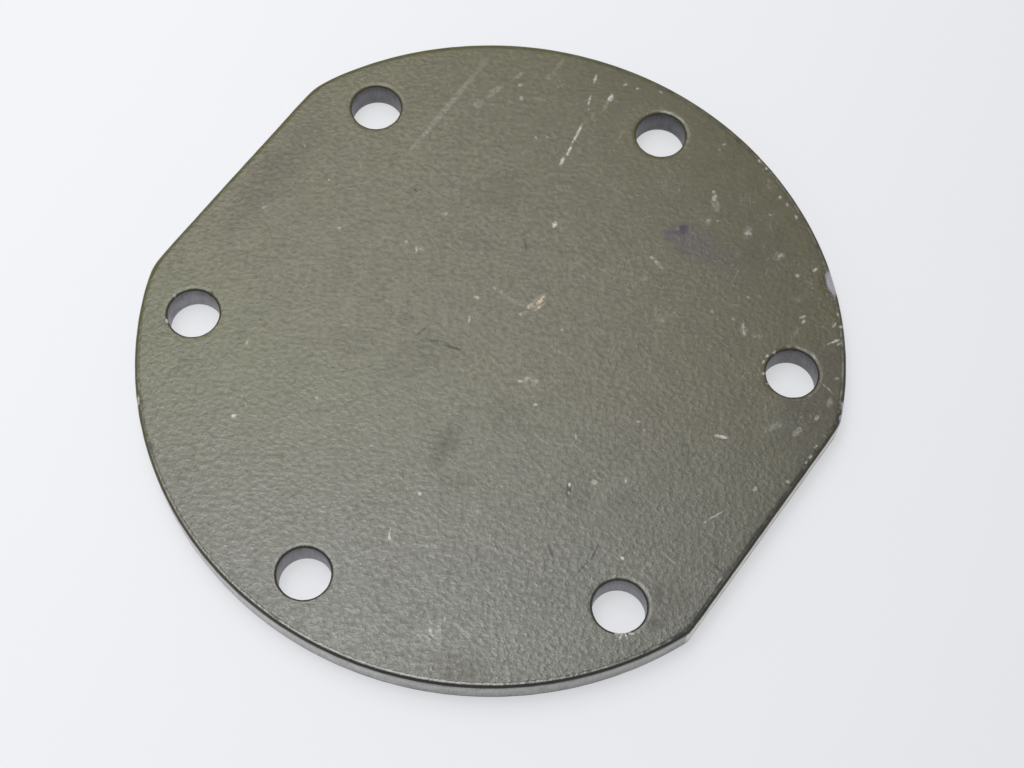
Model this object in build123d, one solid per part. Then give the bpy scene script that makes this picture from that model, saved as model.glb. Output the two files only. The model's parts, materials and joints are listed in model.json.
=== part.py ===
from build123d import *
import os
from math import atan2, degrees, sqrt

# Round steel cover plate with two parallel flats and a ring of bolt holes, in millimetres.
# It is one blank, struck in a single blow from plate that was painted first. The blow leaves
# a rolled rim on the painted outer face, drawn down further at the corners of the outline,
# a straight bare wall below it, and at the foot of the wall a narrow broken band that slopes
# away to the seating face.
# Frame: origin at the centre of the seating face, +Z out through the outer face,
# +X across the flats and +Y along them.

# Outline
disc_diameter = 125.0
flat_depth = 4.5  # how far each flat is cut in from the disc's edge
plate_thickness = 6.0
eased_corner_radius = 7.0  # plan radius where the round meets a flat
keen_corner_radius = 2.0  # the same at the +X, -Y corner, which came out sharper

# Bolt holes, evenly spaced, with each flat midway between two of them
hole_count = 6
hole_diameter = 9.0
hole_edge_distance = 9.5  # from a hole's centre out to the disc's edge

# Sheared edge, the same round the outline and in the holes
rim_roll_radius = 0.5
corner_draw_width = 1.2  # how far inside an outline corner the outer face starts to bend down
corner_draw_depth = 0.4  # how far it has dropped at that corner
broken_band_height = 1.0
broken_band_step = 0.15  # how far the band falls back from the wall at its foot

node_name = "cover_plate"
paint_colour = Color(0.19, 0.18, 0.14)

disc_radius = disc_diameter / 2
hole_circle_radius = disc_radius - hole_edge_distance
flat_distance = disc_radius - flat_depth
flat_half_length = sqrt(disc_radius**2 - flat_distance**2)


def plate_outline():
    """The disc cut by two flats, with its four corners rounded in plan."""
    outline = Circle(disc_radius) & Rectangle(2 * flat_distance, disc_diameter)
    keen_place = Vector(flat_distance, -flat_half_length)
    corners = outline.vertices().sort_by_distance(keen_place)
    outline = fillet(corners[1:], eased_corner_radius)
    return fillet(outline.vertices().sort_by_distance(keen_place)[0], keen_corner_radius)


def bolt_holes():
    """The ring of holes, started half a pitch from +X so that each flat falls between two."""
    half_pitch = 180.0 / hole_count
    ring = PolarLocations(hole_circle_radius, hole_count, start_angle=half_pitch)
    return ring * Circle(hole_diameter / 2)


def corner_cutters():
    """Cutters that bend the outer face down at each outline corner, square to its bisector.

    The face leaves its level in an arc that starts corner_draw_width inside the corner and
    has dropped corner_draw_depth when it reaches it. Past the corner the cutter runs straight.
    """
    with BuildSketch(Plane.XZ) as section:
        with BuildLine():
            bend = TangentArc((0, 0), (corner_draw_width, -corner_draw_depth), tangent=(1, 0))
            beyond = bend @ 1 + bend % 1 * corner_draw_width
            Polyline(bend @ 1, beyond, (beyond.X, corner_draw_depth), (0, corner_draw_depth), (0, 0))
        make_face()
    cutter = Pos(-corner_draw_width, 0, 0) * extrude(section.sketch, flat_half_length / 2, both=True)
    cutters = []
    for side in (1, -1):
        for end in (1, -1):
            corner = Pos(side * flat_distance, end * flat_half_length, plate_thickness)
            bisector = degrees(atan2(end * flat_half_length, side * (flat_distance + disc_radius)))
            cutters.append(corner * Rot(0, 0, bisector) * cutter)
    return cutters


def is_wall(face):
    """Whether a face of the blank stands upright."""
    return abs(face.normal_at().Z) < 0.01


def is_rim(edge):
    """Whether an edge of a wall runs round its top."""
    return edge.bounding_box().min.Z > plate_thickness / 2


def shear_edges(blank):
    """Roll the rims of the outer face, and slope the broken band to the seating face."""
    rims = blank.faces().filter_by(is_wall).edges().filter_by(is_rim)
    blank = fillet(rims, rim_roll_radius)
    seating_face = blank.faces().sort_by(Axis.Z)[0]
    return chamfer(seating_face.edges(), broken_band_step, broken_band_height, reference=seating_face)


def cover_plate():
    """The finished plate: blanked, bent down at its corners and sheared at its edges."""
    blank = extrude(plate_outline() - bolt_holes(), plate_thickness)
    for cutter in corner_cutters():
        blank = blank - cutter
    return shear_edges(blank)


os.makedirs("parts", exist_ok=True)
plate = cover_plate()
plate.label = node_name
plate.color = paint_colour
export_step(plate, f"parts/{node_name}.step")
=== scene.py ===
"""Looks of a round steel cover plate with two flats and six bolt holes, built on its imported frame.

The plate is one stamped blank. Its mesh is made of surfaces that fit edge to edge: a strip that
carries the sheared section round the outline, a collar that carries it round each bolt hole, and
flat fields that join them on the outer face and on the seating face. Sizes inside this file are
in millimetres and a mesh is turned to metres when it is made.
"""
import json
import logging
import math
from dataclasses import dataclass
from enum import Enum
from typing import Any, Mapping, Sequence

import bmesh
import bpy
import numpy as np
from mathutils import Matrix, Vector

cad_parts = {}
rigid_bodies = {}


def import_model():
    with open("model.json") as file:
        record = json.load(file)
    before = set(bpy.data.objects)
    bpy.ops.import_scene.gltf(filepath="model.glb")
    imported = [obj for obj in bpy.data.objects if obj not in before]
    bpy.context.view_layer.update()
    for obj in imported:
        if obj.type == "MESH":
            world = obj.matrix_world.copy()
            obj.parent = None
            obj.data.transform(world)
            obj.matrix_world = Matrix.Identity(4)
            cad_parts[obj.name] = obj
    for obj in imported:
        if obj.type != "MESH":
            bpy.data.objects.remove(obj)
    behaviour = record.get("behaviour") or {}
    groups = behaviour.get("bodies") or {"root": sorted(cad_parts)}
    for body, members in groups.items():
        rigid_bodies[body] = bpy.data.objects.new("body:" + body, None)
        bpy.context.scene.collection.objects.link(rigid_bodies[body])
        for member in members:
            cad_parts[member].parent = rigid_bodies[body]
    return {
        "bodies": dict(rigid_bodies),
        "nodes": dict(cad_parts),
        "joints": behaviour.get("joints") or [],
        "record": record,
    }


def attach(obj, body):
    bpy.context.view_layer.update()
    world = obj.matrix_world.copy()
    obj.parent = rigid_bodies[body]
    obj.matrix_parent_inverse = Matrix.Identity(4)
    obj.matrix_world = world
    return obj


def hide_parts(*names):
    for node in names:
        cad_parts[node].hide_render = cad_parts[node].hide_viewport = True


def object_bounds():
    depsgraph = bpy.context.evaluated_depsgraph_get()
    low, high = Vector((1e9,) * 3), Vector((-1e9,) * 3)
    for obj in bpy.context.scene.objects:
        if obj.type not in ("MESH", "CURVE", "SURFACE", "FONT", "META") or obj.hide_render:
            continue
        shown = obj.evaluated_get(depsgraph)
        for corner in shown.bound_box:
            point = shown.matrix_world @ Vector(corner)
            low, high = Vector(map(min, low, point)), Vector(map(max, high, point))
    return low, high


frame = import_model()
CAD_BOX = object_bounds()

MM = 0.001
NODE = "cover_plate"
WELD_REACH = 0.0005 * MM

log = logging.getLogger("cover_plate")

Array = np.ndarray
Run = tuple[Array, Array]
Colour = tuple[float, float, float]
Point = tuple[float, float, float]
Socket = bpy.types.NodeSocket


# ---- Sizes ----


@dataclass(frozen=True)
class PlateSizes:
    """Main sizes of the plate in millimetres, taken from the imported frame."""

    disc_radius: float
    flat_distance: float
    thickness: float
    hole_circle_radius: float
    hole_radius: float
    hole_count: int

    @classmethod
    def from_frame(cls, packed: Mapping[str, Any], box: tuple[Vector, Vector]) -> "PlateSizes":
        """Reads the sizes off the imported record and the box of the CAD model.

        Args:
            box: Lowest and highest corner of the CAD model, in metres.

        Returns:
            The sizes in millimetres.
        """
        mounts = {mount["name"]: mount["dims"] for mount in packed["record"]["mounts"]}
        circle, high = mounts["bolt_circle"], box[1]
        return cls(
            disc_radius=high.y / MM,
            flat_distance=high.x / MM,
            thickness=high.z / MM,
            hole_circle_radius=circle["pcd_mm"] / 2,
            hole_radius=circle["hole_r_mm"],
            hole_count=int(circle["count"]),
        )

    @property
    def sector_angle(self) -> float:
        """Angle of one hole's sector in radians; the hole is in the middle of it."""
        return 2 * math.pi / self.hole_count


@dataclass(frozen=True)
class ShearedEdge:
    """Section of an edge sheared by a press: rim rollover, straight wall, broken band, foot.

    The wanders say how much the band's height and the roll's depth vary along the edge. The
    band's dies out towards wall_top below the face, and the roll's towards roll_reach.
    """

    margin: float = 1.9
    lead_width: float = 0.95
    lead_slope: float = 0.12
    lead_ease: float = 0.06
    roll_width: float = 0.53
    roll_drop: float = 0.45
    band_height: float = 1.0
    band_step: float = 0.15
    foot_radius: float = 0.10
    band_wander: float = 0.22
    roll_wander: float = 0.10
    wall_roughness: float = 0.012
    wall_top: float = 1.0
    roll_reach: float = 1.6
    margin_rows: int = 3
    lead_rows: int = 6
    roll_rows: int = 11
    wall_rows: int = 7
    band_rows: int = 4
    foot_rows: int = 4

    def section(self, thickness: float) -> Run:
        """Works out the section from the outer face, down the wall, to the seating face.

        The roll is a quarter ellipse: at a turn q from 0 to 90 degrees it lies
        width * (1 - sin q) in from the wall and drop * (1 - cos q) below the face. A gentle lead
        is added to it: u past the lead's start, it sinks by slope * u^2 / (u + ease). The wall
        is straight, the broken band slopes in by its step, and the foot is a quarter circle.

        Args:
            thickness: Thickness of the plate.

        Returns:
            How far each row lies in from the wall, and its height, as two arrays.
        """
        turn = np.linspace(0, math.pi / 2, self.roll_rows)
        quarter = np.linspace(0, math.pi / 2, self.foot_rows)[1:]
        margin_in = np.linspace(self.margin, self.lead_width, self.margin_rows, endpoint=False)
        lead_in = np.linspace(self.lead_width, self.roll_width, self.lead_rows, endpoint=False)
        face_in = np.concatenate([margin_in, lead_in])
        roll_in = self.roll_width * (1 - np.sin(turn))
        face_z = thickness - self.lead_drop(face_in)
        roll_z = thickness - self.lead_drop(roll_in) - self.roll_drop * (1 - np.cos(turn))
        wall_z = np.linspace(roll_z[-1], self.band_height, self.wall_rows)[1:]
        band_in = np.linspace(0, self.band_step, self.band_rows)[1:]
        band_z = np.linspace(self.band_height, self.foot_radius, self.band_rows)[1:]
        foot_in = self.band_step + self.foot_radius * (1 - np.cos(quarter))
        foot_z = self.foot_radius * (1 - np.sin(quarter))
        under_in = np.linspace(foot_in[-1], self.margin, self.margin_rows + 1)[1:]
        inset = [face_in, roll_in, np.zeros_like(wall_z), band_in, foot_in, under_in]
        height = [face_z, roll_z, wall_z, band_z, foot_z, np.zeros_like(under_in)]
        return np.concatenate(inset), np.concatenate(height)

    def lead_drop(self, inset: Array) -> Array:
        """How far the gentle lead has sunk at an inset."""
        past = np.clip(self.lead_width - inset, 0, None)
        return self.lead_slope * past**2 / (past + self.lead_ease)


# ---- Shape ----


def waves(turn: Array, lobes: Sequence[int], seed: int) -> Array:
    """Adds up sine waves round a closed edge, so that the result meets itself.

    Args:
        turn: Angle of each station round the edge.
        lobes: How many times each wave repeats in one round.
        seed: Seed of the waves' phases.

    Returns:
        The sum of sin(lobes * turn + phase), over the square root of the number of waves.
    """
    phases = np.random.default_rng(seed).uniform(0, 2 * math.pi, len(lobes))
    each = np.sin(turn[..., None] * np.asarray(lobes, float) + phases)
    return each.sum(-1) / math.sqrt(len(lobes))


def smooth_step(value: Array, low: float, high: float) -> Array:
    """Rises from 0 at low to 1 at high along 3s^2 - 2s^3, where s is the share of the way."""
    share = np.clip((value - low) / (high - low), 0, 1)
    return share * share * (3 - 2 * share)


def directions(angle: Array | float) -> Array:
    """Unit directions (cos a, sin a) of angles."""
    return np.stack([np.cos(angle), np.sin(angle)], -1)


@dataclass
class Patch:
    """A piece of surface: points in millimetres and the four-sided faces between them.

    Each point also carries how far it lies in from the wall, and whether that wall is a bore's.
    """

    points: Array
    faces: Array
    inset: Array
    bore: Array

    @classmethod
    def grid(cls, points: Array, inset: Array, bore: float = 0.0) -> "Patch":
        """Joins a closed grid of points (stations, rows, 3) with four-sided faces.

        Each face takes stations i and i + 1 and rows j and j + 1, and the last station joins the
        first. The order of both makes it point away from the metal.

        Args:
            points: The grid of points.
            inset: How far each point lies in from the wall.
            bore: 1 round a bolt hole, 0 elsewhere.

        Returns:
            The patch.
        """
        stations, rows = points.shape[:2]
        index = np.arange(stations * rows).reshape(stations, rows)
        after = np.roll(index, -1, axis=0)
        faces = np.stack([index[:, :-1], index[:, 1:], after[:, 1:], after[:, :-1]], -1)
        shares = np.full(stations * rows, bore)
        return cls(points.reshape(-1, 3), faces.reshape(-1, 4), inset.reshape(-1), shares)


@dataclass
class Outline:
    """The plate's outline: a disc cut by two flats, with eased corners and one keen corner."""

    sizes: PlateSizes
    eased_radius: float = 7.0
    keen_radius: float = 2.0
    flat_steps: int = 40
    corner_steps: int = 30
    arc_steps: int = 80

    def corner_centre(self, radius: float) -> Array:
        """Centre of the +X +Y corner's circle: (h - r, y), at R - r from the plate's axis."""
        across = self.sizes.flat_distance - radius
        return np.array([across, math.sqrt((self.sizes.disc_radius - radius) ** 2 - across**2)])

    def first_sector(self, corner_radius: float) -> Run:
        """Outline from the middle of the +X flat round one corner to the sector's end.

        Args:
            corner_radius: Radius of the corner.

        Returns:
            Points and outward directions, each (steps + 1, 2).
        """
        centre = self.corner_centre(corner_radius)
        bearing = math.atan2(centre[1], centre[0])
        along = np.linspace(0, centre[1], self.flat_steps, endpoint=False)
        corner_out = directions(np.linspace(0, bearing, self.corner_steps, endpoint=False))
        disc_out = directions(np.linspace(bearing, self.sizes.sector_angle, self.arc_steps + 1))
        flat_points = np.stack([np.full_like(along, self.sizes.flat_distance), along], -1)
        corner_points = centre + corner_radius * corner_out
        flat_out = np.tile([1.0, 0.0], (self.flat_steps, 1))
        points = np.concatenate([flat_points, corner_points, self.sizes.disc_radius * disc_out])
        return points, np.concatenate([flat_out, corner_out, disc_out])

    def disc_sector(self) -> Run:
        """Outline of the sector round +Y, which is disc all along: R (cos a, sin a).

        Returns:
            Points and outward directions, as many as in the first sector.
        """
        steps = self.flat_steps + self.corner_steps + self.arc_steps
        start = self.sizes.sector_angle
        outward = directions(np.linspace(start, 2 * start, steps + 1))
        return self.sizes.disc_radius * outward, outward

    def sectors(self) -> list[Run]:
        """Lays the sectors out in turn, counterclockwise from +X.

        Returns:
            Points and outward directions of each sector.
        """
        eased = self.first_sector(self.eased_radius)
        keen = self.first_sector(self.keen_radius)
        side = self.disc_sector()

        def flipped(run: Run, flip: Sequence[float]) -> Run:
            """Mirrors a run and turns it end for end."""
            return run[0][::-1] * flip, run[1][::-1] * flip

        def turned(run: Run) -> Run:
            """Turns a run half a turn about the plate's axis."""
            return -run[0], -run[1]

        first_half = [eased, side, flipped(eased, (-1, 1))]
        return first_half + [turned(eased), turned(side), flipped(keen, (1, -1))]

    def corners(self) -> list[Run]:
        """Finds the tip of each corner and its bisector, which points outward.

        Returns:
            Tip and bisector of each of the four corners.
        """
        eased, keen = self.eased_radius, self.keen_radius
        found = []
        for flip, radius in (((1, 1), eased), ((-1, 1), eased), ((-1, -1), eased), ((1, -1), keen)):
            centre = self.corner_centre(radius)
            half = math.atan2(centre[1], centre[0]) / 2
            bisector = directions(half)
            found.append(((centre + radius * bisector) * flip, bisector * flip))
        return found


@dataclass
class CoverPlate:
    """The whole plate as one closed mesh, with the wear on its rims.

    Each nick gives the x and y of its middle, its reach along the face and its depth. The lobes
    are those of the waves that vary the broken band, the roll and the wall.
    """

    sizes: PlateSizes
    rim: ShearedEdge = ShearedEdge()
    bore: ShearedEdge = ShearedEdge(
        margin=2.0,
        lead_slope=0.085,
        lead_width=0.82,
        roll_width=0.46,
        roll_drop=0.42,
        foot_radius=0.05,
    )
    bore_gain: float = 0.05
    corner_draw_width: float = 1.2
    corner_draw_depth: float = 0.40
    ray_steps: int = 42
    face_rings: int = 5
    band_lobes: tuple[int, ...] = (3, 5, 8, 13, 21, 34)
    roll_lobes: tuple[int, ...] = (4, 7, 11, 17)
    wall_lobes: tuple[int, ...] = (61, 83, 97, 109)
    rim_seed: int = 11
    bore_seed: int = 31
    bore_seed_step: int = 7
    nicks: tuple[tuple[float, float, float, float], ...] = (
        (42.0, 46.2, 1.6, 0.16), (57.2, 26.0, 1.0, 0.14), (49.6, -29.4, 0.6, 0.08),
        (-45.9, -21.9, 0.45, 0.22), (-42.9, -45.3, 0.8, 0.12), (49.7, 24.0, 0.6, 0.14),
        (42.6, 29.6, 0.5, 0.26), (43.9, 30.5, 0.45, 0.26), (43.7, 22.4, 0.5, 0.12),
        (41.6, 25.4, 0.5, 0.12), (0.8, -62.3, 0.5, 0.12), (17.8, 59.8, 0.5, 0.10),
        (-48.7, -30.4, 0.5, 0.10),
    )

    def __post_init__(self) -> None:
        """Lays out the outline that every surface shares."""
        self.outline = Outline(self.sizes)

    def wear_drop(self, place: Array) -> Array:
        """How far nicks knock the rim down: the sum of depth * exp(-(distance / reach)^2).

        Args:
            place: Points on the face, (..., 2).

        Returns:
            The drop at each point.
        """
        drop = np.zeros(place.shape[:-1])
        for x, y, reach, depth in self.nicks:
            away = np.hypot(place[..., 0] - x, place[..., 1] - y)
            drop += depth * np.exp(-((away / reach) ** 2))
        return drop

    def corner_drop(self, place: Array) -> Array:
        """Extra draw at the corners: depth * (q / width)^2.

        q is how far a point lies outside the line that crosses a corner's bisector at a right
        angle, one width in from the tip.

        Args:
            place: Points on the face, (..., 2).

        Returns:
            The drop at each point.
        """
        drop = np.zeros(place.shape[:-1])
        for tip, bisector in self.outline.corners():
            outside = self.corner_draw_width - (tip - place) @ bisector
            share = np.clip(outside / self.corner_draw_width, 0, None)
            drop = np.maximum(drop, self.corner_draw_depth * share**2)
        return drop

    def carry(self, edge: ShearedEdge, wall: Array, inward: Array, turn: Array, seed: int) -> Run:
        """Carries an edge's section along a line of stations.

        A point lies at wall + inward * inset, at the section's height. Waves vary the band, the
        roll and the wall a little along the edge, and the rows above the band sink by the drop of
        corners and nicks in proportion to their height.

        Args:
            edge: The section.
            wall: Points of the wall's line, (stations, 2).
            inward: Directions into the metal, (stations, 2).
            turn: Angle of each station round the edge.
            seed: Seed of the waves.

        Returns:
            The grid of points, (stations, rows, 3), in millimetres, and their insets.
        """
        thick, band = self.sizes.thickness, edge.band_height
        inset, height = (np.tile(row, (len(wall), 1)) for row in edge.section(thick))
        from_wall = inset
        lift = edge.band_wander * waves(turn, self.band_lobes, seed)[:, None]
        near_top = smooth_step(height, band, thick - edge.wall_top)
        height = height + lift * (smooth_step(height, 0.0, band) * (1 - near_top))
        depth = edge.roll_wander * waves(turn, self.roll_lobes, seed + 1)[:, None]
        below_face = thick - height
        near_face = 1 - smooth_step(below_face, edge.roll_drop, edge.roll_reach)
        height = thick - below_face * (1 + depth * near_face)
        rough = edge.wall_roughness * (1 + waves(turn, self.wall_lobes, seed + 2)[:, None])
        free = 1 - inset / edge.margin
        inset = inset + np.clip(rough, 0, None) * free * smooth_step(thick - height, 0.1, 0.5)
        place = wall[:, None, :] + inward[:, None, :] * inset[..., None]
        drop = self.corner_drop(place) + self.wear_drop(place) * smooth_step(free, 0.02, 0.3)
        height = height - drop * np.clip((height - band) / (thick - band), 0, 1)
        return np.concatenate([place, height[..., None]], -1), from_wall

    def rim_strip(self) -> Patch:
        """Carries the sheared section round the outline.

        Returns:
            The strip.
        """
        runs = self.outline.sectors()
        wall = np.concatenate([points[:-1] for points, _ in runs])
        outward = np.concatenate([out[:-1] for _, out in runs])
        turn = np.arctan2(wall[:, 1], wall[:, 0])
        return Patch.grid(*self.carry(self.rim, wall, -outward, turn, self.rim_seed))

    def sector_loop(self, index: int) -> Array:
        """Edge of one flat field: from the plate's middle, out, along the rim strip, and back.

        Args:
            index: Number of the sector.

        Returns:
            Points counterclockwise, (stations, 2), the last one short of the first.
        """
        points, outward = self.outline.sectors()[index]
        inner = points - outward * self.rim.margin
        share = np.linspace(0, 1, self.ray_steps, endpoint=False)[:, None]
        return np.concatenate([share * inner[0], inner[:-1], (1 - share) * inner[-1]])

    def hole_line(self, loop: Array, centre: Array) -> Run:
        """Directions from a hole's axis that match the stations of its flat field.

        Each direction is halfway between the bearing of its station and an even spread.

        Args:
            loop: Edge of the flat field.
            centre: Place of the hole's axis.

        Returns:
            Angle of each station, and its direction.
        """
        away = loop - centre
        bearing = np.unwrap(np.arctan2(away[:, 1], away[:, 0]))
        even = np.linspace(0, 2 * math.pi, len(loop), endpoint=False)
        even = even + np.mean(bearing - even)
        angle = 0.5 * (bearing + even)
        return angle, directions(angle)

    def sector_patches(self, index: int) -> list[Patch]:
        """Collar of one bolt hole and the two flat fields round it.

        A field's point lies on the straight line from the collar to the field's edge, at an even
        share of the way.

        Args:
            index: Number of the sector.

        Returns:
            The collar, the field of the outer face and the field of the seating face.
        """
        bearing = self.sizes.sector_angle * (index + 0.5)
        centre = self.sizes.hole_circle_radius * directions(bearing)
        loop = self.sector_loop(index)
        angle, away = self.hole_line(loop, centre)
        radius = self.sizes.hole_radius + self.bore_gain
        seed = self.bore_seed + self.bore_seed_step * index
        collar, inset = self.carry(self.bore, centre + radius * away, away, angle, seed)
        share = np.linspace(0, 1, self.face_rings + 1)[:, None]
        edge = centre + (radius + self.bore.margin) * away
        flat = edge[:, None, :] + (loop - edge)[:, None, :] * share
        top = np.full(flat.shape[:2] + (1,), self.sizes.thickness)
        upper = np.concatenate([flat, top], -1)
        lower = np.concatenate([flat, np.zeros_like(top)], -1)
        away_from_walls = np.full(flat.shape[:2], self.bore.margin)
        return [
            Patch.grid(collar[::-1], inset[::-1], bore=1.0),
            Patch.grid(upper[::-1], away_from_walls),
            Patch.grid(lower, away_from_walls),
        ]

    def build(self) -> bpy.types.Object:
        """Joins the surfaces into one closed mesh and hands it over to the frame.

        Returns:
            The plate's object, at the origin.
        """
        patches = [self.rim_strip()]
        for index in range(self.sizes.hole_count):
            patches.extend(self.sector_patches(index))
        piece = mesh_object("plate_body", patches)
        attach(piece, "root")
        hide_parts(NODE)
        return piece

    def dress(self, piece: bpy.types.Object, finish: "PaintedSteel") -> None:
        """Gives the plate its painted and sheared steel."""
        piece.data.materials.clear()
        piece.data.materials.append(finish.build(self.sizes))


def mesh_object(name: str, patches: list[Patch]) -> bpy.types.Object:
    """Makes one object of several patches whose edges meet.

    Args:
        name: Name of the object.
        patches: The patches, in millimetres.

    Returns:
        The object, with its doubles merged and its normals outward.
    """
    starts = np.cumsum([0] + [len(patch.points) for patch in patches[:-1]])
    points = np.concatenate([patch.points for patch in patches]) * MM
    faces = np.concatenate([patch.faces + start for patch, start in zip(patches, starts)])
    mesh = bpy.data.meshes.new(name)
    mesh.from_pydata(points.tolist(), [], faces.tolist())
    for label in ("inset", "bore"):
        layer = mesh.attributes.new(label, "FLOAT", "POINT")
        values = np.concatenate([getattr(patch, label) for patch in patches])
        layer.data.foreach_set("value", values.astype(np.float32))
    work = bmesh.new()
    work.from_mesh(mesh)
    bmesh.ops.remove_doubles(work, verts=work.verts, dist=WELD_REACH)
    bmesh.ops.recalc_face_normals(work, faces=work.faces)
    open_edges = sum(1 for edge in work.edges if not edge.is_manifold)
    volume = work.calc_volume(signed=True) / MM**3
    triangles = sum(len(face.verts) - 2 for face in work.faces)
    for face in work.faces:
        face.smooth = True
    work.to_mesh(mesh)
    work.free()
    piece = bpy.data.objects.new(name, mesh)
    bpy.context.scene.collection.objects.link(piece)
    report = "%s: %d triangles, %d open edges, %.0f cubic mm"
    log.info(report, name, triangles, open_edges, volume)
    return piece


# ---- Shader maths ----


class Num:
    """A number in a node tree, on which sums can be written as on plain numbers."""

    def __init__(self, graph: "Graph", socket: Socket) -> None:
        """Wraps a socket of a graph."""
        self.graph = graph
        self.socket = socket

    def __add__(self, other: "Num | float") -> "Num":
        """Sum."""
        return self.graph.maths("ADD", self, other)

    def __radd__(self, other: float) -> "Num":
        """Sum with the number first."""
        return self.graph.maths("ADD", other, self)

    def __sub__(self, other: "Num | float") -> "Num":
        """Difference."""
        return self.graph.maths("SUBTRACT", self, other)

    def __rsub__(self, other: float) -> "Num":
        """Difference with the number first."""
        return self.graph.maths("SUBTRACT", other, self)

    def __mul__(self, other: "Num | float") -> "Num":
        """Product."""
        return self.graph.maths("MULTIPLY", self, other)

    def __rmul__(self, other: float) -> "Num":
        """Product with the number first."""
        return self.graph.maths("MULTIPLY", other, self)

    def size(self) -> "Num":
        """The number without its sign."""
        return self.graph.maths("ABSOLUTE", self)

    def larger(self, other: "Num | float") -> "Num":
        """The larger of two numbers."""
        return self.graph.maths("MAXIMUM", self, other)

    def smaller(self, other: "Num | float") -> "Num":
        """The smaller of two numbers."""
        return self.graph.maths("MINIMUM", self, other)

    def step(self, low: float, high: float, top: float = 1.0) -> "Num":
        """Rises smoothly between two levels of the number.

        Args:
            low: Level at which the result is 0. It may be the higher of the two.
            high: Level at which the result is top.
            top: The result's highest value.

        Returns:
            The smooth step.
        """
        values = {0: self, 1: low, 2: high, 3: 0.0, 4: top}
        settings = {"interpolation_type": "SMOOTHSTEP"}
        return Num(self.graph, self.graph.first("ShaderNodeMapRange", settings, values))


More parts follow.
